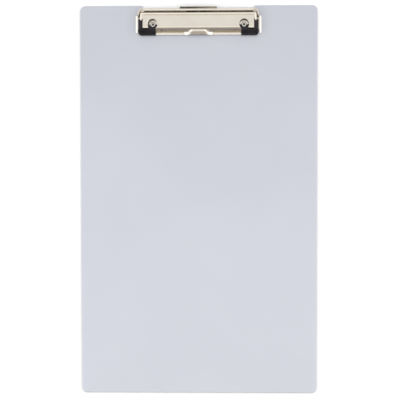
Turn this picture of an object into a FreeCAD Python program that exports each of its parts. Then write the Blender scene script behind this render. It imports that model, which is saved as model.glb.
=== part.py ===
import FreeCAD, Part
import math
import os
import re
import Sketcher

# Legal-size aluminium clipboard with a low, sprung clip and a pull-out hanging hook.
# Frame: origin at the centre of the board's back face, +X right, +Y towards the clip,
# +Z up through the board. Millimetres. In the names below, an "inset" is a distance down
# the board from its top edge, and a "rise" is a height above the board's front face.
DIMENSIONS = {
    # how far joined forms run into each other, and how far cuts run past a surface
    "bite": 0.05,
    "past": 1.0,
    # board
    "board_width": 240.0,
    "board_length": 394.0,
    "board_thick": 2.0,
    "board_corner": 5.0,
    "board_edge": 0.5,
    "notch_half": 56.7,
    "notch_depth": 2.0,
    "notch_corner": 0.9,
    # rivets, hollow and flush at the back
    "rivet_half_pitch": 46.0,
    "rivet_inset": 19.1,
    "rivet_radius": 1.7,
    "rivet_hole": 1.75,
    "rivet_bore": 1.05,
    "rivet_bore_floor": 0.8,
    "rivet_lip": 0.3,
    "rivet_head": 3.0,
    "rivet_sink": 1.35,
    "rivet_cone": 1.3,
    "rivet_roll": 2.7,
    "rivet_roll_thick": 1.0,
    # base plate
    "floor_thick": 0.8,
    "floor_half": 61.5,
    "floor_front": 23.8,
    "strip_half": 63.5,
    "strip_back": 10.3,
    "strip_front": 27.5,
    "strip_slope": 1.5,
    "strip_fall": 0.5,
    "rim_inset": 3.4,
    "rim_wall": 1.2,
    "rim_half": 60.9,
    "rim_corner": 5.0,
    "rim_rise": 9.3,
    "rim_lip_front": 5.9,
    "rim_lip_half": 55.8,
    "rim_lip_drop": 2.6,
    "rim_bend": 1.6,
    "ear_front": 12.6,
    "ear_corner": 3.9,
    # hinge pin
    "pin_inset": 9.8,
    "pin_rise": 4.3,
    "pin_radius": 1.15,
    "pin_half": 61.4,
    "pin_edge": 0.35,
    "pin_clearance": 0.05,
    # jaw
    "jaw_thick": 0.9,
    "jaw_half": 59.2,
    "jaw_back": 6.9,
    "jaw_rise": 9.0,
    "jaw_skirt_rise": 2.0,
    "jaw_skirt_corner": 2.0,
    "jaw_bend": 2.4,
    "jaw_side_bend": 2.2,
    "panel_front": 23.7,
    "slope_foot": 27.2,
    "slope_foot_rise": 1.0,
    "slope_skin": 0.98,
    "curl_rise": 6.4,
    "curl_opening": 9.3,
    "crease_inset": 10.1,
    "crease_half_width": 0.45,
    "crease_depth": 0.35,
    "crease_half": 55.0,
    "window_radius": 4.9,
    "window_edge": 0.4,
    "dimple_radius": 0.7,
    "dimple_half_pitch": 37.1,
    "dimple_inset": 25.5,
    # lip and thumb tab
    "lip_half": 57.0,
    "lip_back": 26.4,
    "lip_low": 27.2,
    "lip_front": 29.5,
    "lip_gap": 0.7,
    "lip_front_gap": 1.15,
    "tab_half": 16.0,
    "tab_flat_half": 5.5,
    "tab_top_rise": 7.2,
    "tab_flat_back": 24.3,
    "tab_flat_rise": 7.15,
    "tab_knee": 26.5,
    "tab_knee_inside": 26.15,
    "tab_tip": 29.4,
    "tab_tip_rise": 4.7,
    "tab_tip_inside": 28.8,
    "tab_tip_inside_rise": 4.0,
    # rubber corner grips
    "grip_half": 60.6,
    "grip_back": 13.9,
    "grip_rise": 9.7,
    "grip_leg_half": 56.0,
    "grip_toe_half": 43.2,
    "grip_toe_back": 24.3,
    "grip_front": 30.0,
    "grip_front_rise": 3.1,
    "grip_toe_skin": 0.5,
    "grip_step_inset": 24.6,
    "grip_leg_gap": 1.1,
    "grip_gap": 0.15,
    "grip_corner": 3.0,
    "grip_side_bend": 2.6,
    "grip_strap_half": 50.4,
    "grip_strap_back": 19.8,
    "grip_ring": 3.0,
    "grip_notch": 1.8,
    "grip_plug_gap": 0.05,
    "grip_plug_rise": 8.0,
    # torsion springs
    "spring_wire": 0.6,
    "spring_mean": 1.9,
    "spring_pitch": 1.32,
    "spring_turns": 6.0,
    "spring_outer": 37.0,
    "spring_base_angle": 282.0,
    "spring_jaw_angle": 70.0,
    "spring_base_leg": 4.5,
    "spring_jaw_leg": 2.1,
    # hanging hook
    "hook_half": 12.0,
    "hook_rise": 0.9,
    "hook_thick": 1.0,
    "hook_front": 19.9,
    "hook_back": 1.3,
    "hook_hole": 3.25,
    "hook_hole_inset": 8.6,
    "hook_stop_half": 9.5,
    "hook_stop_rise": 2.85,
    "hook_tab_half": 18.6,
    "hook_tab_rise": 6.4,
    "hook_tab_front": 3.9,
    "hook_tab_end": 1.2,
    "hook_tab_bend": 1.8,
    "hook_tab_corner": 1.5,
    # slot and guides for the hook in the base plate
    "slot_half": 12.3,
    "slot_rise": 2.1,
    "bridge_rise": 3.6,
    "recess_half": 19.2,
    "recess_front": 4.0,
    "guide_inner": 12.35,
    "guide_leaf": 11.0,
    "guide_wall": 0.8,
    "guide_back": 12.0,
    "guide_front": 17.0,
    "guide_window": 2.0,
}
TAB_STATIONS = 9  # sections of the thumb tab from its flat middle out to the straight lip

# The front slope's run for each unit of rise, and its outer face's inset at the tab's top.
SLOPE = "(slope_foot - panel_front) / (jaw_rise - slope_foot_rise)"
TAB_TOP = f"slope_foot - (tab_top_rise - slope_foot_rise) * {SLOPE}"


def cells(formula):
    """A formula of plain dimension names, as the document's expression engine reads it."""
    return re.sub(r"[a-z][a-z_]*", lambda word: "Sheet." + word.group(), formula)


def down(formula):
    return f"board_length / 2 - ({formula})"


def above(formula):
    return f"board_thick + ({formula})"


def make_sheet(doc):
    sheet = doc.addObject("Spreadsheet::Sheet", "Sheet")
    for row, (name, value) in enumerate(DIMENSIONS.items(), start=1):
        sheet.set(f"A{row}", name)
        sheet.set(f"B{row}", str(value))
        sheet.setAlias(f"B{row}", name)
    doc.recompute()
    return sheet


def new_body(doc, label):
    body = doc.addObject("PartDesign::Body", label.title().replace("_", ""))
    body.Label = label
    return body


def new_sketch(body, name, role, lift=None):
    sketch = body.newObject("Sketcher::SketchObject", name)
    plane = next(f for f in body.Origin.OriginFeatures if f.Role == role)
    sketch.AttachmentSupport = [(plane, "")]
    sketch.MapMode = "FlatFace"
    if lift:
        sketch.setExpression("AttachmentOffset.Base.z", cells(lift))
    return sketch


def bind(sketch, constraint, formula):
    index = sketch.addConstraint(constraint)
    sketch.setExpression(f"Constraints[{index}]", cells(formula))


def draw_polygon(sketch, corners):
    """A closed outline whose every corner is placed by two formulas."""
    first = sketch.GeometryCount
    count = len(corners)
    ring = [
        FreeCAD.Vector(math.cos(2 * math.pi * i / count), math.sin(2 * math.pi * i / count), 0)
        for i in range(count)
    ]
    for i in range(count):
        sketch.addGeometry(Part.LineSegment(ring[i], ring[(i + 1) % count]), False)
    for i in range(count):
        following = first + (i + 1) % count
        sketch.addConstraint(Sketcher.Constraint("Coincident", first + i, 2, following, 1))
    for i, (across, along) in enumerate(corners):
        start = ring[i]
        bind(sketch, Sketcher.Constraint("DistanceX", -1, 1, first + i, 1, start.x), across)
        bind(sketch, Sketcher.Constraint("DistanceY", -1, 1, first + i, 1, start.y), along)


def draw_circle(sketch, across, along, radius):
    circle = Part.Circle(FreeCAD.Vector(1, 1, 0), FreeCAD.Vector(0, 0, 1), 1)
    index = sketch.addGeometry(circle, False)
    bind(sketch, Sketcher.Constraint("DistanceX", -1, 1, index, 3, 1.0), across)
    bind(sketch, Sketcher.Constraint("DistanceY", -1, 1, index, 3, 1.0), along)
    bind(sketch, Sketcher.Constraint("Radius", index, 1.0), radius)


def polygon(body, name, role, corners, lift=None):
    sketch = new_sketch(body, name, role, lift)
    draw_polygon(sketch, corners)
    return sketch


def rectangle(body, name, role, low, high, lift=None):
    corners = [(low[0], low[1]), (high[0], low[1]), (high[0], high[1]), (low[0], high[1])]
    return polygon(body, name, role, corners, lift)


def pad(body, sketch, length, symmetric=False):
    feature = body.newObject("PartDesign::Pad", sketch.Name + "Pad")
    feature.Profile = sketch
    feature.setExpression("Length", cells(length))
    if symmetric:
        feature.SideType = "Symmetric"
    return feature


def pocket(body, sketch, length, reverse=False, symmetric=False):
    """Cuts a sketch out of the body, and stops if nothing was cut."""
    body.Document.recompute()
    before = body.Shape.Volume
    feature = body.newObject("PartDesign::Pocket", sketch.Name + "Pocket")
    feature.Profile = sketch
    feature.setExpression("Length", cells(length))
    feature.Reversed = reverse
    if symmetric:
        feature.SideType = "Symmetric"
    body.Document.recompute()
    if body.Shape.Volume > before - 1e-3:
        raise RuntimeError(f"{feature.Name} cut nothing")
    return feature


def edge_names(shape, test):
    """Names of the edges whose middle point and edge pass a test."""
    names = []
    for number, edge in enumerate(shape.Edges, start=1):
        low, high = edge.ParameterRange
        middle = edge.valueAt((low + high) / 2)
        if test(middle, edge):
            names.append(f"Edge{number}")
    return names


def curve_of(edge):
    """The edge's curve, or None for a kind that has no Python class."""
    try:
        return edge.Curve
    except TypeError:
        return None


def is_straight(edge, direction):
    """True for a straight edge along a direction."""
    curve = curve_of(edge)
    return isinstance(curve, Part.Line) and abs(abs(curve.Direction.dot(direction)) - 1) < 1e-6


def is_ring(edge, radius):
    curve = curve_of(edge)
    return isinstance(curve, Part.Circle) and near(curve.Radius, radius)


def round_edges(body, radius, test, kind="PartDesign::Fillet"):
    body.Document.recompute()
    base = body.Tip
    names = edge_names(base.Shape, test)
    if not names:
        raise RuntimeError(f"{body.Label}: no edge to round by {radius}")
    feature = body.newObject(kind, kind.split("::")[1] + radius.title().replace("_", ""))
    feature.Base = (base, names)
    size = "Radius" if kind.endswith("Fillet") else "Size"
    feature.setExpression(size, cells(radius))
    return feature


X_AXIS = FreeCAD.Vector(1, 0, 0)
Y_AXIS = FreeCAD.Vector(0, 1, 0)
Z_AXIS = FreeCAD.Vector(0, 0, 1)


def near(a, b, reach=0.02):
    return abs(a - b) < reach


def make_board(doc, size):
    body = new_body(doc, "board")
    top = size["board_length"] / 2
    half = "board_width / 2"
    ends = "board_length / 2"
    outline = polygon(body, "BoardOutline", "XY_Plane", [
        (f"-{half}", f"-{ends}"),
        (half, f"-{ends}"),
        (half, ends),
        ("notch_half", ends),
        ("notch_half", down("notch_depth")),
        ("-notch_half", down("notch_depth")),
        ("-notch_half", ends),
        (f"-{half}", ends),
    ])
    pad(body, outline, "board_thick")
    outer = size["board_width"] / 2
    round_edges(body, "board_corner", lambda p, e: near(abs(p.x), outer) and near(abs(p.y), top)
                and is_straight(e, Z_AXIS))
    round_edges(body, "notch_corner", lambda p, e: near(abs(p.x), size["notch_half"])
                and is_straight(e, Z_AXIS))
    round_edges(body, "board_edge", lambda p, e: near(p.z, 0) or near(p.z, size["board_thick"]))
    holes = new_sketch(body, "RivetHoles", "XY_Plane")
    for sign in ("-", ""):
        draw_circle(holes, sign + "rivet_half_pitch", down("rivet_inset"), "rivet_hole")
    pocket(body, holes, "board_thick", reverse=True)
    round_edges(body, "rivet_sink", lambda p, e: near(p.z, 0) and is_ring(e, size["rivet_hole"]),
                kind="PartDesign::Chamfer")
    return body


def make_base_form(doc, size):
    """Floor, upright rim with its side ears, hook slot and guides."""
    body = new_body(doc, "base_form")
    floor = polygon(body, "Floor", "XY_Plane", [
        ("-rim_half", down("rim_inset")),
        ("-rim_half", down("strip_back")),
        ("-strip_half", down("strip_back")),
        ("-strip_half", down("strip_front")),
        ("-floor_half", down("strip_front")),
        ("-floor_half", down("floor_front")),
        ("floor_half", down("floor_front")),
        ("floor_half", down("strip_front")),
        ("strip_half", down("strip_front")),
        ("strip_half", down("strip_back")),
        ("rim_half", down("strip_back")),
        ("rim_half", down("rim_inset")),
    ], lift="board_thick")
    pad(body, floor, "floor_thick")
    for side, sign in (("Left", "-"), ("Right", "")):
        slope = polygon(body, f"StripSlope{side}", "XZ_Plane", [
            (f"{sign}(strip_half - strip_slope)", above("floor_thick")),
            (f"{sign}(strip_half + past)", above("floor_thick")),
            (f"{sign}(strip_half + past)", above("floor_thick - strip_fall")),
            (f"{sign}strip_half", above("floor_thick - strip_fall")),
        ])
        pocket(body, slope, "board_length")
    inner = "rim_half - rim_wall"
    rim = polygon(body, "Rim", "XY_Plane", [
        ("-rim_half", down("rim_inset")),
        ("-rim_half", down("ear_front")),
        (f"-({inner})", down("ear_front")),
        (f"-({inner})", down("rim_inset + rim_wall")),
        (inner, down("rim_inset + rim_wall")),
        (inner, down("ear_front")),
        ("rim_half", down("ear_front")),
        ("rim_half", down("rim_inset")),
    ], lift="board_thick")
    pad(body, rim, "rim_rise")
    back = size["board_length"] / 2 - size["rim_inset"]
    top = size["board_thick"] + size["rim_rise"]
    ear_end = size["board_length"] / 2 - size["ear_front"]
    round_edges(body, "rim_corner", lambda p, e: near(abs(p.x), size["rim_half"])
                and near(p.y, back) and is_straight(e, Z_AXIS))
    inside = size["rim_half"] - size["rim_wall"]
    feature = round_edges(body, "rim_corner", lambda p, e: near(abs(p.x), inside)
                          and near(p.y, back - size["rim_wall"]) and is_straight(e, Z_AXIS))
    feature.setExpression("Radius", cells("rim_corner - rim_wall"))
    round_edges(body, "ear_corner", lambda p, e: near(p.y, ear_end) and near(p.z, top)
                and is_straight(e, X_AXIS))
    lowered = rectangle(body, "LipRoom", "XZ_Plane",
                        ("-rim_lip_half", above("rim_rise - rim_lip_drop")),
                        ("rim_lip_half", above("rim_rise + past")))
    pocket(body, lowered, "board_length")
    slot = rectangle(body, "HookSlot", "XZ_Plane",
                     ("-slot_half", above("floor_thick")), ("slot_half", above("slot_rise")))
    pocket(body, slot, "board_length")
    for side, sign in (("Left", "-"), ("Right", "")):
        add_hook_guide(body, side, sign)
    holes = new_sketch(body, "FloorHoles", "XY_Plane", lift="board_thick")
    for sign in ("-", ""):
        draw_circle(holes, sign + "rivet_half_pitch", down("rivet_inset"), "rivet_hole")
    pocket(body, holes, "floor_thick", reverse=True)
    bore = new_sketch(body, "PinHoles", "YZ_Plane")
    draw_circle(bore, down("pin_inset"), above("pin_rise"), "pin_radius")
    pocket(body, bore, "2 * strip_half", symmetric=True)
    return body


def add_hook_guide(body, side, sign):
    """An L-shaped tab lanced out of the floor, over one edge of the hook's plate."""
    outside = f"{sign}(guide_inner + guide_wall)"
    upright = rectangle(body, f"GuideWall{side}", "XY_Plane",
                        (f"{sign}guide_inner", down("guide_front")),
                        (outside, down("guide_back")), lift="board_thick")
    pad(body, upright, "slot_rise + guide_wall")
    leaf = rectangle(body, f"GuideLeaf{side}", "XY_Plane",
                     (f"{sign}guide_leaf", down("guide_front")),
                     (outside, down("guide_back")), lift=above("slot_rise"))
    pad(body, leaf, "guide_wall")
    window = rectangle(body, f"GuideWindow{side}", "XY_Plane",
                       (outside, down("guide_front")),
                       (f"{sign}(guide_inner + guide_wall + guide_window)", down("guide_back")),
                       lift="board_thick")
    pocket(body, window, "floor_thick", reverse=True)


def make_rim_lip(doc, size):
    """The top of the rim's back wall, bent forward through a quarter turn."""
    body = new_body(doc, "rim_lip")
    section = polygon(body, "LipSection", "YZ_Plane", [
        (down("rim_inset"), above("rim_rise - rim_lip_drop")),
        (down("rim_inset"), above("rim_rise")),
        (down("rim_lip_front"), above("rim_rise")),
        (down("rim_lip_front"), above("rim_rise - rim_wall")),
        (down("rim_inset + rim_wall"), above("rim_rise - rim_wall")),
        (down("rim_inset + rim_wall"), above("rim_rise - rim_lip_drop")),
    ])
    pad(body, section, "2 * rim_lip_half", symmetric=True)
    back = size["board_length"] / 2 - size["rim_inset"]
    top = size["board_thick"] + size["rim_rise"]
    wall = size["rim_wall"]
    round_edges(body, "rim_bend", lambda p, e: near(p.y, back) and near(p.z, top)
                and is_straight(e, X_AXIS))
    inner = round_edges(body, "rim_bend", lambda p, e: near(p.y, back - wall)
                        and near(p.z, top - wall) and is_straight(e, X_AXIS))
    inner.setExpression("Radius", cells("rim_bend - rim_wall"))
    return body


def make_base_plate(doc, size):
    whole = doc.addObject("Part::Fuse", "BaseWhole")
    whole.Base = make_base_form(doc, size)
    whole.Tool = make_rim_lip(doc, size)
    recess = doc.addObject("Part::Box", "TabRecess")
    recess.setExpression("Length", cells("2 * recess_half"))
    recess.setExpression("Width", cells("recess_front"))
    recess.setExpression("Height", cells("rim_rise"))
    recess.setExpression("Placement.Base.x", cells("-recess_half"))
    recess.setExpression("Placement.Base.y", cells(down("recess_front")))
    recess.setExpression("Placement.Base.z", cells(above("bridge_rise")))
    plate = doc.addObject("Part::Cut", "BasePlate")
    plate.Base = whole
    plate.Tool = recess
    plate.Label = "base_plate"
    return plate


def make_rivets(doc):
    """Two hollow rivets, cone heads flush in the back and their ends rolled over the floor."""
    body = new_body(doc, "rivet")
    shank_top = above("floor_thick")
    section = polygon(body, "RivetSection", "XZ_Plane", [
        ("0", "0"),
        ("rivet_head", "0"),
        ("rivet_radius", "rivet_cone"),
        ("rivet_radius", shank_top),
        ("rivet_roll", shank_top),
        ("rivet_roll", above("floor_thick + rivet_roll_thick / 2")),
        ("(rivet_roll + rivet_radius) / 2", above("floor_thick + rivet_roll_thick")),
        ("rivet_bore + rivet_lip", above("floor_thick + rivet_roll_thick")),
        ("rivet_bore", above("floor_thick + rivet_roll_thick / 2")),
        ("rivet_bore", "rivet_bore_floor"),
        ("0", "rivet_bore_floor"),
    ])
    turned = body.newObject("PartDesign::Revolution", "RivetTurned")
    turned.Profile = section
    turned.ReferenceAxis = (section, ["V_Axis"])
    turned.Angle = 360
    body.setExpression("Placement.Base.x", cells("rivet_half_pitch"))
    body.setExpression("Placement.Base.y", cells(down("rivet_inset")))
    mirror = doc.addObject("Part::Mirroring", "RivetMirror")
    mirror.Source = body
    mirror.Normal = X_AXIS
    pair = doc.addObject("Part::Compound", "Rivets")
    pair.Links = [body, mirror]
    pair.Label = "rivets"
    return pair


def make_pin(doc, size):
    body = new_body(doc, "hinge_pin")
    section = new_sketch(body, "PinSection", "YZ_Plane")
    draw_circle(section, down("pin_inset"), above("pin_rise"), "pin_radius")
    pad(body, section, "2 * pin_half", symmetric=True)
    round_edges(body, "pin_edge", lambda p, e: near(abs(p.x), size["pin_half"]))
    return body


def jaw_block(body, size):
    """The jaw's outside form as a solid block: back curl, panel, front slope and sides."""
    section = polygon(body, body.Name + "Section", "YZ_Plane", [
        (down("jaw_back"), above("jaw_skirt_rise")),
        (down("jaw_back"), above("jaw_rise")),
        (down("panel_front"), above("jaw_rise")),
        (down("slope_foot"), above("slope_foot_rise")),
    ])
    pad(body, section, "2 * jaw_half", symmetric=True)
    back = size["board_length"] / 2 - size["jaw_back"]
    top = size["board_thick"] + size["jaw_rise"]
    skirt = size["board_thick"] + size["jaw_skirt_rise"]
    corner = size["jaw_skirt_corner"]
    round_edges(body, "jaw_skirt_corner", lambda p, e: near(p.y, back) and near(p.z, skirt)
                and is_straight(e, X_AXIS))
    round_edges(body, "jaw_bend", lambda p, e: near(p.z, top) and is_straight(e, X_AXIS))
    bottom_back = FreeCAD.Vector(0, back, skirt)
    foot = FreeCAD.Vector(0, size["board_length"] / 2 - size["slope_foot"],
                          size["board_thick"] + size["slope_foot_rise"])
    bottom = (foot - bottom_back).normalize()

    def stays_sharp(p):
        offset = FreeCAD.Vector(0, p.y, p.z) - bottom_back
        in_corner = p.y > back - corner and p.z < skirt + corner + 0.01
        return in_corner or offset.cross(bottom).Length < 0.02

    round_edges(body, "jaw_side_bend", lambda p, e: near(abs(p.x), size["jaw_half"])
                and not stays_sharp(p))


def make_jaw_cavity(doc, size):
    """The space inside the jaw's sheet, run on below its open underside."""
    body = new_body(doc, "jaw_cavity")
    foot = "slope_foot - slope_skin"
    section = polygon(body, "CavitySection", "YZ_Plane", [
        (down("jaw_back + jaw_thick"), above("-past")),
        (down("jaw_back + jaw_thick"), above("jaw_rise - jaw_thick")),
        (down(f"{foot} - (jaw_rise - jaw_thick - slope_foot_rise) * {SLOPE}"),
         above("jaw_rise - jaw_thick")),
        (down(f"{foot} + (slope_foot_rise + past) * {SLOPE}"), above("-past")),
    ])
    pad(body, section, "2 * (jaw_half - jaw_thick)", symmetric=True)
    top = size["board_thick"] + size["jaw_rise"] - size["jaw_thick"]
    low = size["board_thick"] - size["past"]
    bend = round_edges(body, "jaw_bend", lambda p, e: near(p.z, top) and is_straight(e, X_AXIS))
    bend.setExpression("Radius", cells("jaw_bend - jaw_thick"))
    half = size["jaw_half"] - size["jaw_thick"]
    side = round_edges(body, "jaw_side_bend", lambda p, e: near(abs(p.x), half)
                       and not near(p.z, low))
    side.setExpression("Radius", cells("jaw_side_bend - jaw_thick"))
    return body


def jaw_lip(body):
    lip = polygon(body, body.Name + "Lip", "YZ_Plane", lip_corners("0"))
    pad(body, lip, "2 * lip_half", symmetric=True)


def lip_corners(raised):
    """The lip's section. "raised" goes from 0 on the straight lip to 1 on the thumb tab."""

    def mix(low, high):
        return f"({low}) + ({raised}) * (({high}) - ({low}))"

    return [
        (down(f"{TAB_TOP} - bite / 2"), above("tab_top_rise")),
        (down(f"{TAB_TOP} - slope_skin"), above("tab_top_rise")),
        (down(mix("lip_back", "tab_flat_back")),
         above(mix("slope_foot_rise + bite", "tab_flat_rise - jaw_thick"))),
        (down(mix("lip_low", "tab_knee_inside")),
         above(mix("lip_gap", "tab_flat_rise - jaw_thick"))),
        (down(mix("lip_front", "tab_tip_inside")),
         above(mix("lip_front_gap", "tab_tip_inside_rise"))),
        (down(mix("lip_front", "tab_tip")),
         above(mix("lip_front_gap + jaw_thick", "tab_tip_rise"))),
        (down(mix("lip_low - 2 * bite", "tab_knee")),
         above(mix("lip_gap + jaw_thick", "tab_flat_rise"))),
    ]


def add_thumb_tab(body, size):
    """Cuts the middle of the lip away and lofts the turned-up thumb tab in its place."""
    gap = rectangle(body, "TabGap", "YZ_Plane",
                    (down("grip_front + past"), above("0")),
                    (down(f"{TAB_TOP} - slope_skin - bite"), above("tab_top_rise - bite")))
    pocket(body, gap, "2 * tab_half", symmetric=True)
    stations = []
    for side in (-1, 1):
        half = []
        for number in range(TAB_STATIONS):
            share = number / (TAB_STATIONS - 1)
            raised = (1 + math.cos(math.pi * share)) / 2
            place = f"{side} * (tab_flat_half + {share} * (tab_half - tab_flat_half))"
            half.append((place, raised))
        stations += half if side > 0 else half[::-1]
    sketches = []
    for number, (place, raised) in enumerate(stations):
        sketch = polygon(body, f"TabSection{number}", "YZ_Plane",
                         lip_corners(f"{raised:.6f}"), lift=place)
        sketches.append(sketch)
    loft = body.newObject("PartDesign::AdditiveLoft", "ThumbTab")
    loft.Profile = sketches[0]
    loft.Sections = sketches[1:]
    loft.Ruled = True


def make_jaw(doc, size):
    form = new_body(doc, "jaw_block")
    jaw_block(form, size)
    shell = doc.addObject("Part::Cut", "JawShell")
    shell.Base = form
    shell.Tool = make_jaw_cavity(doc, size)
    doc.recompute()
    body = new_body(doc, "jaw_plate")
    body.BaseFeature = shell
    inner = "jaw_half - jaw_thick"
    behind = rectangle(body, "CurlOpening", "XZ_Plane",
                       (f"-({inner})", above("0")), (inner, above("curl_rise")),
                       lift="-(board_length / 2)")
    pocket(body, behind, "curl_opening", reverse=True)
    jaw_lip(body)
    add_thumb_tab(body, size)
    crease = polygon(body, "Crease", "YZ_Plane", [
        (down("crease_inset"), above("jaw_rise - crease_depth")),
        (down("crease_inset - crease_half_width"), above("jaw_rise + bite")),
        (down("crease_inset + crease_half_width"), above("jaw_rise + bite")),
    ])
    pocket(body, crease, "2 * crease_half", symmetric=True)
    windows = new_sketch(body, "Windows", "XY_Plane", lift=above("jaw_rise + past"))
    dimples = new_sketch(body, "Dimples", "XY_Plane", lift=above("jaw_rise + past"))
    for sign in ("-", ""):
        draw_circle(windows, sign + "rivet_half_pitch", down("rivet_inset"), "window_radius")
        draw_circle(dimples, sign + "dimple_half_pitch", down("dimple_inset"), "dimple_radius")
    pocket(body, windows, "jaw_rise")
    pocket(body, dimples, "jaw_rise")
    round_edges(body, "window_edge", lambda p, e: is_ring(e, size["window_radius"])
                and near(p.z, size["board_thick"] + size["jaw_rise"]))
    bore = new_sketch(body, "JawBore", "YZ_Plane")
    draw_circle(bore, down("pin_inset"), above("pin_rise"), "pin_radius + pin_clearance")
    pocket(body, bore, "2 * (jaw_half + past)", symmetric=True)
    return body


def make_grip_plug(doc):
    """The end of a grip's strap, tucked down into the front half of the jaw's window."""
    body = new_body(doc, "grip_plug")
    disc = new_sketch(body, "PlugDisc", "XY_Plane", lift=above("grip_plug_rise"))
    draw_circle(disc, "rivet_half_pitch", down("rivet_inset"), "window_radius - grip_plug_gap")
    pad(body, disc, "jaw_rise + bite - grip_plug_rise")
    middle = new_sketch(body, "PlugMiddle", "XY_Plane")
    draw_circle(middle, "rivet_half_pitch", down("rivet_inset"), "grip_ring")
    pocket(body, middle, "2 * grip_rise + board_thick", reverse=True)
    back = rectangle(body, "PlugBack", "XY_Plane",
                     ("rivet_half_pitch - 2 * window_radius", down("grip_strap_back")),
                     ("rivet_half_pitch + 2 * window_radius", down("grip_back")))
    pocket(body, back, "2 * grip_rise + board_thick", reverse=True)
    return body


def make_grips(doc, size):
    """Rubber corners moulded round the jaw's sides, front slope and lip."""
    outer = new_body(doc, "grip_outer")
    section = polygon(outer, "GripSection", "YZ_Plane", [
        (down("grip_back"), above("grip_leg_gap")),
        (down("grip_back"), above("grip_rise")),
        (down("panel_front + grip_rise - jaw_rise"), above("grip_rise")),
        (down("slope_foot + grip_toe_skin"), above("grip_front_rise")),
        (down("grip_front"), above("grip_front_rise")),
        (down("grip_front"), above("grip_gap")),
        (down("grip_step_inset"), above("grip_gap")),
        (down("grip_step_inset"), above("grip_leg_gap")),
    ], lift="grip_toe_half")
    pad(outer, section, "grip_half - grip_toe_half")
    top = size["board_thick"] + size["grip_rise"]
    front = size["board_length"] / 2 - size["grip_front"]
    round_edges(outer, "grip_corner", lambda p, e: near(p.x, size["grip_half"])
                and near(p.y, front) and is_straight(e, Z_AXIS))
    round_edges(outer, "grip_side_bend", lambda p, e: near(p.x, size["grip_half"])
                and near(p.z, top) and is_straight(e, Y_AXIS))
    panel = polygon(outer, "PanelClear", "XY_Plane", [
        ("grip_leg_half", down("grip_back - past")),
        ("grip_leg_half", down("grip_toe_back")),
        ("grip_strap_half", down("grip_toe_back")),
        ("grip_strap_half", down("grip_strap_back")),
        ("grip_toe_half - past", down("grip_strap_back")),
        ("grip_toe_half - past", down("grip_back - past")),
    ])
    pocket(outer, panel, "2 * grip_rise + board_thick", reverse=True)
    rounds = new_sketch(outer, "RoundClear", "XY_Plane")
    draw_circle(rounds, "rivet_half_pitch", down("rivet_inset"), "grip_ring")
    draw_circle(rounds, "(grip_half + grip_leg_half) / 2", down("grip_back"), "grip_notch")
    pocket(outer, rounds, "2 * grip_rise + board_thick", reverse=True)
    form = new_body(doc, "jaw_form")
    jaw_block(form, size)
    jaw_lip(form)
    shell = doc.addObject("Part::Cut", "GripShell")
    shell.Base = outer
    shell.Tool = form
    right = doc.addObject("Part::Fuse", "CornerGripRight")
    right.Base = shell
    right.Tool = make_grip_plug(doc)
    right.Label = "corner_grip_right"
    left = doc.addObject("Part::Mirroring", "CornerGripLeft")
    left.Source = right
    left.Normal = X_AXIS
    left.Label = "corner_grip_left"
    return left, right


def make_springs(doc, size):
    """Closing springs round the pin. One leg bears on the floor, one under the jaw's curl."""
    mean = size["spring_mean"]
    wire = size["spring_wire"]
    pitch = size["spring_pitch"]
    start_angle = math.radians(size["spring_base_angle"])
    swept = size["spring_turns"] * 360 + 360
    swept += size["spring_jaw_angle"] - size["spring_base_angle"]
    height = pitch * swept / 360

    def on_coil(angle, z):
        return FreeCAD.Vector(mean * math.cos(angle), mean * math.sin(angle), z)

    def tangent(angle):
        lead = pitch / (2 * math.pi)
        return FreeCAD.Vector(-mean * math.sin(angle), mean * math.cos(angle), lead).normalize()

    helix = Part.makeHelix(pitch, height, mean)
    helix.rotate(FreeCAD.Vector(), Z_AXIS, size["spring_base_angle"])
    begin = on_coil(start_angle, 0)
    end_angle = start_angle + math.radians(swept)
    end = on_coil(end_angle, height)
    ring = Part.Wire(Part.makeCircle(wire, begin, tangent(start_angle)))
    coil = Part.Wire(helix).makePipeShell([ring], True, True)
    base_way = tangent(start_angle) * -1
    base_leg = Part.makeCylinder(wire, size["spring_base_leg"], begin, base_way)
    jaw_leg = Part.makeCylinder(wire, size["spring_jaw_leg"], end, tangent(end_angle))
    shape = coil.fuse([base_leg, jaw_leg])
    # The coil's own axis becomes -X, its first axis points down the board and its second up.
    turn = FreeCAD.Matrix(0, 0, -1, 0, -1, 0, 0, 0, 0, 1, 0, 0, 0, 0, 0, 1)
    place = FreeCAD.Placement(turn)
    place.Base = FreeCAD.Vector(size["spring_outer"],
                                size["board_length"] / 2 - size["pin_inset"],
                                size["board_thick"] + size["pin_rise"])
    right = doc.addObject("Part::Feature", "TorsionSpringRight")
    right.Shape = shape
    right.Placement = place
    right.Label = "torsion_spring_right"
    left = doc.addObject("Part::Mirroring", "TorsionSpringLeft")
    left.Source = right
    left.Normal = X_AXIS
    left.Label = "torsion_spring_left"
    return left, right


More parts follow.
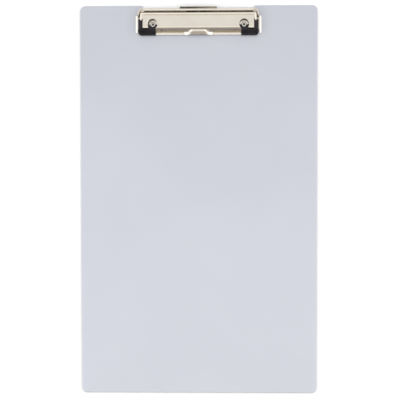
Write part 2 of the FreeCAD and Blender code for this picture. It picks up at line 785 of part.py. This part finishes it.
def make_hook(doc, size):
    body = new_body(doc, "hanging_hook")
    plate = rectangle(body, "HookPlate", "XY_Plane",
                      ("-hook_half", down("hook_front")), ("hook_half", down("hook_back")),
                      lift=above("hook_rise"))
    pad(body, plate, "hook_thick")
    stop = rectangle(body, "HookStop", "XY_Plane",
                     ("-hook_stop_half", down("hook_front")),
                     ("hook_stop_half", down("hook_front - hook_thick")),
                     lift=above("hook_rise"))
    pad(body, stop, "hook_stop_rise - hook_rise")
    tab = polygon(body, "FingerTab", "YZ_Plane", [
        (down("hook_back"), above("hook_rise")),
        (down("hook_back"), above("hook_tab_rise")),
        (down("hook_tab_front"), above("hook_tab_rise")),
        (down("hook_tab_front"), above("hook_tab_rise - hook_thick")),
        (down("hook_back + hook_thick"), above("hook_tab_rise - hook_thick")),
        (down("hook_back + hook_thick"), above("hook_rise")),
    ])
    pad(body, tab, "2 * hook_tab_half", symmetric=True)
    top = size["board_thick"] + size["hook_tab_rise"]
    back = size["board_length"] / 2 - size["hook_back"]
    round_edges(body, "hook_tab_bend", lambda p, e: near(p.y, back) and near(p.z, top)
                and is_straight(e, X_AXIS))
    feature = round_edges(
        body, "hook_tab_bend",
        lambda p, e: near(p.y, back - size["hook_thick"]) and near(p.z, top - size["hook_thick"])
        and is_straight(e, X_AXIS))
    feature.setExpression("Radius", cells("hook_tab_bend - hook_thick"))
    front = size["board_length"] / 2 - size["hook_tab_front"]
    round_edges(body, "hook_tab_end", lambda p, e: near(abs(p.x), size["hook_tab_half"])
                and near(p.y, front) and is_straight(e, Z_AXIS))
    low = size["board_thick"] + size["hook_rise"]
    round_edges(body, "hook_tab_corner", lambda p, e: near(abs(p.x), size["hook_tab_half"])
                and near(p.z, low) and is_straight(e, Y_AXIS))
    hole = new_sketch(body, "HangingHole", "XY_Plane", lift=above("hook_rise"))
    draw_circle(hole, "0", down("hook_hole_inset"), "hook_hole")
    pocket(body, hole, "hook_thick", reverse=True)
    return body


def check(doc, parts):
    """Stops if any object failed to build, or a piece has no valid solid."""
    for item in doc.Objects:
        if "Invalid" in item.State or "Error" in item.State:
            raise RuntimeError(f"{item.Label} did not build: {item.State}")
    for part in parts:
        if part.Shape.isNull() or not part.Shape.isValid() or not part.Shape.Solids:
            raise RuntimeError(f"{part.Label} is not a valid solid")


def main():
    doc = FreeCAD.newDocument("Clipboard")
    make_sheet(doc)
    parts = [make_board(doc, DIMENSIONS), make_base_plate(doc, DIMENSIONS), make_rivets(doc)]
    parts.append(make_pin(doc, DIMENSIONS))
    parts.append(make_jaw(doc, DIMENSIONS))
    parts += make_grips(doc, DIMENSIONS)
    parts += make_springs(doc, DIMENSIONS)
    parts.append(make_hook(doc, DIMENSIONS))
    doc.recompute()
    check(doc, parts)
    os.makedirs("parts", exist_ok=True)
    for part in parts:
        part.Shape.exportStep(f"parts/{part.Label}.step")
        print(f"{part.Label}: {len(part.Shape.Solids)} solid, {part.Shape.Volume:.1f} mm3")


main()
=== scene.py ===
import math

import bmesh
import bpy
from mathutils import Matrix, Vector


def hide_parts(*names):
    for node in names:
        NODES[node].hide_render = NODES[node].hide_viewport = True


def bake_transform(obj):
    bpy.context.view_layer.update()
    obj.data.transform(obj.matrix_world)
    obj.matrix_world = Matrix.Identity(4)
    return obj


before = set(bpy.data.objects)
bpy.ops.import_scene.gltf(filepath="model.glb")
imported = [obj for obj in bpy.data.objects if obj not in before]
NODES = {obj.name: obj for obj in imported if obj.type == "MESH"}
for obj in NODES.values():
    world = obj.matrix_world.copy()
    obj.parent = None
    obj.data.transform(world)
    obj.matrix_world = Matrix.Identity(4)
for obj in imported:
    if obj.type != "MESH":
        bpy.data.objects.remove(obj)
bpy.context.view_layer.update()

MM = 0.001
TURN = 2 * math.pi

# ---------------------------------------------------------------- colours, in (dark, light) pairs

ALUMINIUM = ((0.565, 0.579, 0.636), (0.589, 0.605, 0.661))
# painted shade for the board near the clip
ALUMINIUM_PAINTED_SHADE = (0.40, 0.405, 0.44)
NICKEL = ((0.76, 0.70, 0.61), (0.81, 0.755, 0.67))
# painted shade for the plate's gaps and crevices
NICKEL_PAINTED_SHADE = (0.10, 0.075, 0.055)
RIVET = ((0.70, 0.67, 0.62), (0.84, 0.81, 0.76))
# painted shade for the rivets' bores and hollows
RIVET_PAINTED_SHADE = (0.05, 0.04, 0.03)
PIN_TONE = (0.62, 0.60, 0.56)
SPRING_TONE = (0.52, 0.50, 0.47)
WIRE_SHADE = 0.72  # of the tone, where the oxide is thickest
# the hook's two tones are its plate darkened with painted shade, the first more than the second
HOOK_SHADED_DARK = ((0.075, 0.062, 0.048), (0.13, 0.112, 0.085))
HOOK_SHADED_PALE = ((0.22, 0.195, 0.145), (0.36, 0.325, 0.245))
RUBBER = ((0.013, 0.012, 0.014), (0.028, 0.025, 0.029))
PAPER = ((0.93, 0.93, 0.93), (0.95, 0.95, 0.95))

FULL_SHADE_BELOW = 0.12  # how open a surface is to the air where the painted shade is full
USUAL_SPAN = (0.3, 0.8)  # the values that a noise mostly takes


# ---------------------------------------------------------------- node helpers

class Shader:
    """A Principled material and short calls for the nodes that feed it."""

    def __init__(self, name, **values):
        self.material = bpy.data.materials.new(name)
        self.material.use_nodes = True
        self.tree = self.material.node_tree
        self.shader = self.tree.nodes["Principled BSDF"]
        for socket, value in values.items():
            self.shader.inputs[socket.replace("_", " ")].default_value = value
        self.coords = self.add("ShaderNodeTexCoord").outputs["Object"]

    def add(self, kind, **settings):
        node = self.tree.nodes.new(kind)
        for key, value in settings.items():
            setattr(node, key, value)
        return node

    def link(self, source, target):
        self.tree.links.new(source, target)

    def feed(self, socket, value):
        self.link(value, self.shader.inputs[socket])

    def across(self):
        """The object's x, in metres."""
        split = self.add("ShaderNodeSeparateXYZ")
        self.link(self.coords, split.inputs[0])
        return split.outputs["X"]

    def noise(self, scale, detail=3.0, roughness=0.5, stretch=(1, 1, 1)):
        """Noise with so many features a metre, before its three axes are stretched."""
        mapping = self.add("ShaderNodeMapping")
        mapping.inputs["Scale"].default_value = stretch
        self.link(self.coords, mapping.inputs["Vector"])
        node = self.add("ShaderNodeTexNoise")
        node.inputs["Scale"].default_value = scale
        node.inputs["Detail"].default_value = detail
        node.inputs["Roughness"].default_value = roughness
        self.link(mapping.outputs["Vector"], node.inputs["Vector"])
        return node.outputs["Fac"]

    def ranged(self, value, span, result=(0.0, 1.0)):
        """The value, carried from one span to another and held at its ends."""
        node = self.add("ShaderNodeMapRange")
        for socket, number in zip(("From Min", "From Max", "To Min", "To Max"), (*span, *result)):
            node.inputs[socket].default_value = number
        self.link(value, node.inputs["Value"])
        return node.outputs["Result"]

    def tones(self, value, span, colours):
        """The two colours, at the two ends of a noise's span."""
        node = self.add("ShaderNodeValToRGB")
        for element, place, colour in zip(node.color_ramp.elements, span, colours):
            element.position = place
            element.color = (*colour, 1)
        self.link(value, node.inputs["Fac"])
        return node.outputs["Color"]

    def blend(self, factor, first, second):
        """From the first colour to the second. A colour is numbers or a node's output."""
        node = self.add("ShaderNodeMix", data_type="RGBA")
        self.link(factor, node.inputs[0])
        for socket, colour in ((node.inputs[6], first), (node.inputs[7], second)):
            if isinstance(colour, tuple):
                socket.default_value = (*colour, 1)
            else:
                self.link(colour, socket)
        return node.outputs[2]

    def painted_hollow_shade(self, colour, shade_colour, reach, unshaded_above=0.55):
        """The colour, darkened to a painted shade where the surface lies deep in a gap or corner."""
        # Painted shade: ambient occlusion darkens the colour in gaps, corners and hollows, where shade
        # falls.
        open_air = self.add("ShaderNodeAmbientOcclusion", samples=8)
        open_air.inputs["Distance"].default_value = reach
        return self.blend(self.ranged(open_air.outputs["AO"], (FULL_SHADE_BELOW, unshaded_above)), shade_colour, colour)

    def bumps(self, edge, *layers):
        """Softens edges by a radius in the shading, then adds (height, strength, metres) bumps."""
        bevel = self.add("ShaderNodeBevel", samples=4)
        bevel.inputs["Radius"].default_value = edge
        normal = bevel.outputs["Normal"]
        for height, strength, distance in layers:
            node = self.add("ShaderNodeBump")
            node.inputs["Strength"].default_value = strength
            node.inputs["Distance"].default_value = distance
            self.link(height, node.inputs["Height"])
            self.link(normal, node.inputs["Normal"])
            normal = node.outputs["Normal"]
        self.feed("Normal", normal)


# ---------------------------------------------------------------- materials

def board_aluminium():
    """Satin anodised sheet: a fine blasted grain, faint cloudiness and a few light rubs.
    Painted shade darkens it near the clip, for the shadow the clip casts on it."""
    look = Shader("board_aluminium", Metallic=1.0)
    cloud = look.noise(scale=9, detail=4)
    grain = look.noise(scale=2600, detail=2)
    rubs = look.noise(scale=60, detail=5, roughness=0.6, stretch=(1, 9, 1))
    tint = look.tones(cloud, (0.30, 0.70), ALUMINIUM)
    # Painted shade: near the clip the board's colour is darkened to a grey-blue, standing in for the clip's
    # shadow.
    look.feed("Base Color", look.painted_hollow_shade(tint, ALUMINIUM_PAINTED_SHADE, reach=14 * MM, unshaded_above=0.98))
    look.feed("Roughness", look.ranged(rubs, (0.35, 0.75), (0.36, 0.42)))
    look.bumps(0.3 * MM, (grain, 0.10, 0.04 * MM))
    return look.material


def plated_steel():
    """Bright nickel plate over pressed steel: soft ripple, fine handling marks, warm tint."""
    look = Shader("plated_steel", Metallic=1.0)
    ripple = look.noise(scale=140, detail=2)
    marks = look.noise(scale=900, detail=4, roughness=0.65, stretch=(0.25, 1, 1))
    cloud = look.noise(scale=45)
    tint = look.tones(cloud, (0.25, 0.75), NICKEL)
    # Painted shade: the plate's colour goes nearly black in its gaps and crevices, where shade falls.
    look.feed("Base Color", look.painted_hollow_shade(tint, NICKEL_PAINTED_SHADE, reach=3 * MM))
    look.feed("Roughness", look.ranged(marks, USUAL_SPAN, (0.14, 0.26)))
    look.bumps(0.15 * MM, (ripple, 0.10, 0.3 * MM), (marks, 0.05, 0.05 * MM))
    return look.material


def rivet_steel():
    """Plated like the clip, with painted shade that darkens the bore and hollows, leaving the rolled ends
    brighter.
    """
    look = Shader("rivet_steel", Metallic=1.0)
    marks = look.noise(scale=1500)
    tint = look.tones(marks, (0.3, 0.7), RIVET)
    # Painted shade: the rivet's colour goes nearly black in the bore and hollows, where shade falls.
    look.feed("Base Color", look.painted_hollow_shade(tint, RIVET_PAINTED_SHADE, reach=2.2 * MM, unshaded_above=0.8))
    look.feed("Roughness", look.ranged(marks, USUAL_SPAN, (0.10, 0.22)))
    look.bumps(0.15 * MM, (marks, 0.12, 0.05 * MM))
    return look.material


def wire_steel(name, tone):
    """Drawn wire: lengthwise die lines and a thin grey oxide."""
    look = Shader(name, Metallic=1.0)
    lines = look.noise(scale=700, stretch=(0.15, 1, 1))
    spots = look.noise(scale=260, detail=4)
    shade = tuple(WIRE_SHADE * part for part in tone)
    look.feed("Base Color", look.tones(spots, (0.3, 0.7), (shade, tone)))
    look.feed("Roughness", look.ranged(lines, USUAL_SPAN, (0.26, 0.42)))
    look.bumps(0.1 * MM, (lines, 0.15, 0.04 * MM))
    return look.material


def hook_steel():
    """Plate darkened with painted shade, for the dark surroundings its steep faces reflect; less darkened
    towards the right end of the finger tab.
    """
    look = Shader("hook_steel", Metallic=1.0)
    marks = look.noise(scale=800, detail=4, stretch=(1, 0.25, 1))
    cloud = look.noise(scale=70)
    darker_tone = look.tones(cloud, (0.3, 0.7), HOOK_SHADED_DARK)
    paler_tone = look.tones(cloud, (0.3, 0.7), HOOK_SHADED_PALE)
    paler_to_right = look.ranged(look.across(), (-10 * MM, 16 * MM))
    # Painted shade: the hook's colour runs from the darker painted tone at the left to the paler one at the
    # right.
    look.feed("Base Color", look.blend(paler_to_right, darker_tone, paler_tone))
    look.feed("Roughness", look.ranged(marks, USUAL_SPAN, (0.16, 0.30)))
    look.bumps(0.2 * MM, (marks, 0.10, 0.05 * MM))
    return look.material


def grip_rubber():
    """Moulded black rubber: fine spark-eroded texture, a little bloom and paper dust."""
    look = Shader("grip_rubber", Metallic=0.0, IOR=1.45, Specular_IOR_Level=0.20)
    texture = look.noise(scale=2200, detail=2)
    bloom = look.noise(scale=120, detail=4)
    look.feed("Base Color", look.tones(bloom, (0.35, 0.75), RUBBER))
    look.feed("Roughness", look.ranged(bloom, USUAL_SPAN, (0.48, 0.68)))
    look.bumps(0.4 * MM, (texture, 0.35, 0.08 * MM))
    return look.material


def floor_paper():
    look = Shader("floor_paper", Roughness=0.9)
    look.feed("Base Color", look.tones(look.noise(scale=3), (0.3, 0.7), PAPER))
    return look.material


def paint(obj, material):
    obj.data.materials.clear()
    obj.data.materials.append(material)


def paint_nodes(spring_wire):
    plate = plated_steel()
    rubber = grip_rubber()
    looks = {
        "board": board_aluminium(),
        "base_plate": plate,
        "rivets": rivet_steel(),
        "hinge_pin": wire_steel("pin_steel", PIN_TONE),
        "jaw_plate": plate,
        "corner_grip_left": rubber,
        "corner_grip_right": rubber,
        "torsion_spring_left": spring_wire,
        "torsion_spring_right": spring_wire,
        "hanging_hook": hook_steel(),
    }
    for node, material in looks.items():
        paint(NODES[node], material)


# ---------------------------------------------------------------- torsion springs

PIN_Y = 0.1872
PIN_Z = 0.0063
WIRE = 0.6 * MM
COIL = 1.9 * MM
PITCH = 1.32 * MM
COIL_START = 37.0 * MM
WHOLE_TURNS = 6
BASE_ANGLE = math.radians(282)
JAW_ANGLE = math.radians(70)
COIL_SWEEP = WHOLE_TURNS * TURN + (TURN + JAW_ANGLE - BASE_ANGLE)
BASE_LEG = 4.5 * MM
JAW_LEG = 2.1 * MM
LEG_SHARES = (0.25, 0.5, 0.75, 1.0)  # where a leg's points are, from the coil to its tip
STEPS_A_TURN = 40
WIRE_SIDES = 14

# How far the wire's tip is rounded: steps in from the tip, and the width there, both in radii.
DOME = ((0.0, 0.05), (0.13, 0.5), (0.4, 0.8), (0.75, 0.97))


def spring_path():
    """Points from the floor leg's tip, round the coil, to the tip under the jaw's curl."""
    def at(angle):
        travel = PITCH * (angle - BASE_ANGLE) / TURN
        return Vector((COIL_START - travel, PIN_Y - COIL * math.cos(angle), PIN_Z + COIL * math.sin(angle)))

    steps = round(COIL_SWEEP / TURN * STEPS_A_TURN)
    coil = [at(BASE_ANGLE + COIL_SWEEP * step / steps) for step in range(steps + 1)]
    to_floor = (coil[0] - coil[1]).normalized()
    to_jaw = (coil[-1] - coil[-2]).normalized()
    base_leg = [coil[0] + to_floor * BASE_LEG * share for share in reversed(LEG_SHARES)]
    jaw_leg = [coil[-1] + to_jaw * JAW_LEG * share for share in LEG_SHARES]
    return base_leg + coil + jaw_leg


def tube(name, path, radius, sides):
    """A round wire along the path, with domed ends."""
    first = (path[1] - path[0]).normalized()
    last = (path[-1] - path[-2]).normalized()
    stations = [(path[0] + first * radius * ahead, share) for ahead, share in DOME]
    stations += [(point, 1.0) for point in path[1:-1]]
    stations += [(path[-1] - last * radius * ahead, share) for ahead, share in reversed(DOME)]

    mesh = bmesh.new()
    rings = []
    outward = (stations[1][0] - stations[0][0]).normalized().orthogonal().normalized()
    for index, (point, share) in enumerate(stations):
        before = stations[max(index - 1, 0)][0]
        after = stations[min(index + 1, len(stations) - 1)][0]
        along = (after - before).normalized()
        outward = (outward - along * outward.dot(along)).normalized()
        aside = along.cross(outward)
        ring = []
        for side in range(sides):
            angle = TURN * side / sides
            offset = outward * math.cos(angle) + aside * math.sin(angle)
            ring.append(mesh.verts.new(point + offset * radius * share))
        rings.append(ring)
    for low, high in zip(rings, rings[1:]):
        for side in range(sides):
            following = (side + 1) % sides
            mesh.faces.new((low[side], low[following], high[following], high[side]))
    mesh.faces.new(list(reversed(rings[0])))
    mesh.faces.new(rings[-1])
    bmesh.ops.recalc_face_normals(mesh, faces=mesh.faces)

    data = bpy.data.meshes.new(name)
    mesh.to_mesh(data)
    mesh.free()
    data.shade_smooth()
    obj = bpy.data.objects.new(name, data)
    bpy.context.scene.collection.objects.link(obj)
    return obj


def make_springs(spring_wire):
    """One wound wire each side. The floor leg stays with the base, the other turns with the jaw."""
    for side, sign in (("left", -1), ("right", 1)):
        path = [Vector((sign * point.x, point.y, point.z)) for point in spring_path()]
        spring = tube(f"wound_spring_{side}", path, WIRE, WIRE_SIDES)
        paint(spring, spring_wire)
        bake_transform(spring)
        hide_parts(f"torsion_spring_{side}")


# ---------------------------------------------------------------- floor

FLOOR_SIZE = 6
FLOOR_DROP = 0.2 * MM


def make_floor():
    bpy.ops.mesh.primitive_plane_add(size=FLOOR_SIZE, location=(0, 0, -FLOOR_DROP))
    floor = bpy.context.object
    floor.name = "floor"
    paint(floor, floor_paper())


# ---------------------------------------------------------------- light

# The dome's light depends on direction alone. Each pair is where a change starts and ends, in
# a unit direction's x without its sign ("aside"), y ("along") or z ("height").
PANEL_INNER_ASIDE = (0.36, 0.56)
PANEL_OUTER_ASIDE = (0.82, 0.95)
PANEL_END_ALONG = (0.26, 0.52)
PANEL_GAIN = 0.75
ROOM_ALONG = (-0.62, -0.34)
ROOM_ASIDE = (0.30, 0.55)
ROOM_HORIZON_ALONG = (-0.94, -0.78)
ROOM_HORIZON_SHARE = 0.60
ROOM_TINT = (0.235, 0.195, 0.150)
SLOPE_ALONG = (-0.40, 0.40)
SLOPE_LIGHT = (1.42, 0.72)
NEAR_END_ALONG = (-0.85, -0.58)
NEAR_END_LIGHT = 0.74
BACKDROP_LOW_ALONG = (0.34, 0.60)
BACKDROP_HIGH_ALONG = (0.66, 0.84)
BACKDROP_HORIZON_SHARE = 0.1
HORIZON_HEIGHT = (0.02, 0.30)
HORIZON_LIGHT = 0.45
WHITE = (1.0, 1.0, 1.0)


def make_world():
    """A soft studio dome: bright panels left and right, a pale backdrop beyond the clip's end,
    a dim warm room at the near end, and light that falls off gently towards the clip."""
    world = bpy.data.worlds.new("studio")
    bpy.context.scene.world = world
    world.use_nodes = True
    tree = world.node_tree

    def add(kind, **settings):
        node = tree.nodes.new(kind)
        for key, value in settings.items():
            setattr(node, key, value)
        return node

    def smooth(value, span, low, high):
        node = add("ShaderNodeMapRange", interpolation_type="SMOOTHSTEP")
        for socket, number in zip(("From Min", "From Max", "To Min", "To Max"), (*span, low, high)):
            node.inputs[socket].default_value = number
        tree.links.new(value, node.inputs["Value"])
        return node.outputs["Result"]

    def maths(operation, *terms):
        node = add("ShaderNodeMath", operation=operation)
        for socket, term in zip(node.inputs, terms):
            if isinstance(term, float):
                socket.default_value = term
            else:
                tree.links.new(term, socket)
        return node.outputs[0]

    split = add("ShaderNodeSeparateXYZ")
    tree.links.new(add("ShaderNodeTexCoord").outputs["Generated"], split.inputs[0])
    across, along, height = split.outputs
    aside = maths("ABSOLUTE", across)

    panels = maths("MULTIPLY", smooth(aside, PANEL_INNER_ASIDE, 0.0, 1.0),
                   smooth(aside, PANEL_OUTER_ASIDE, 1.0, 0.0))
    panels = maths("MULTIPLY", panels, smooth(maths("ABSOLUTE", along), PANEL_END_ALONG, 1.0, 0.0))
    slope = maths("MULTIPLY", smooth(along, SLOPE_ALONG, *SLOPE_LIGHT),
                  smooth(along, NEAR_END_ALONG, NEAR_END_LIGHT, 1.0))
    backdrop = maths("MULTIPLY", smooth(along, BACKDROP_LOW_ALONG, 0.0, 1.0),
                     smooth(along, BACKDROP_HIGH_ALONG, 1.0, BACKDROP_HORIZON_SHARE))
    light = maths("MULTIPLY", slope, maths("MULTIPLY_ADD", panels, PANEL_GAIN, 1.0))
    light = maths("ADD", light, backdrop)
    light = maths("MULTIPLY", light, smooth(height, HORIZON_HEIGHT, HORIZON_LIGHT, 1.0))

    room = maths("MULTIPLY", smooth(along, ROOM_ALONG, 1.0, 0.0), smooth(aside, ROOM_ASIDE, 1.0, 0.0))
    room = maths("MULTIPLY", room, smooth(along, ROOM_HORIZON_ALONG, ROOM_HORIZON_SHARE, 1.0))
    tint = add("ShaderNodeMix", data_type="RGBA")
    tree.links.new(room, tint.inputs[0])
    tint.inputs[6].default_value = (*WHITE, 1)
    tint.inputs[7].default_value = (*ROOM_TINT, 1)

    background = tree.nodes["Background"]
    tree.links.new(tint.outputs[2], background.inputs["Color"])
    tree.links.new(light, background.inputs["Strength"])


# ---------------------------------------------------------------- camera

SENSOR_WIDTH = 36
FOCAL_LENGTH = 106.25
FAR_CLIP = 20
EYE = Vector((0.0319, 0.0465, 1.2017))
AHEAD = Vector((-0.0255, -0.0384, -0.9989))
UP = Vector((0.0003, 0.9993, -0.0384))


def make_camera():
    """Nearly straight above, a little towards the clip and the right, through a long lens."""
    lens = bpy.data.cameras.new("camera")
    lens.sensor_width = SENSOR_WIDTH
    lens.lens = FOCAL_LENGTH
    lens.clip_end = FAR_CLIP
    camera = bpy.data.objects.new("camera", lens)
    ahead = AHEAD.normalized()
    across = ahead.cross(UP).normalized()
    up = across.cross(ahead)
    turn = Matrix((across, up, -ahead)).transposed().to_4x4()
    camera.matrix_world = Matrix.Translation(EYE) @ turn
    bpy.context.scene.collection.objects.link(camera)
    bpy.context.scene.camera = camera


spring_wire = wire_steel("spring_steel", SPRING_TONE)
paint_nodes(spring_wire)
make_springs(spring_wire)
make_floor()
make_world()
make_camera()

bpy.context.scene.view_settings.view_transform = "Standard"
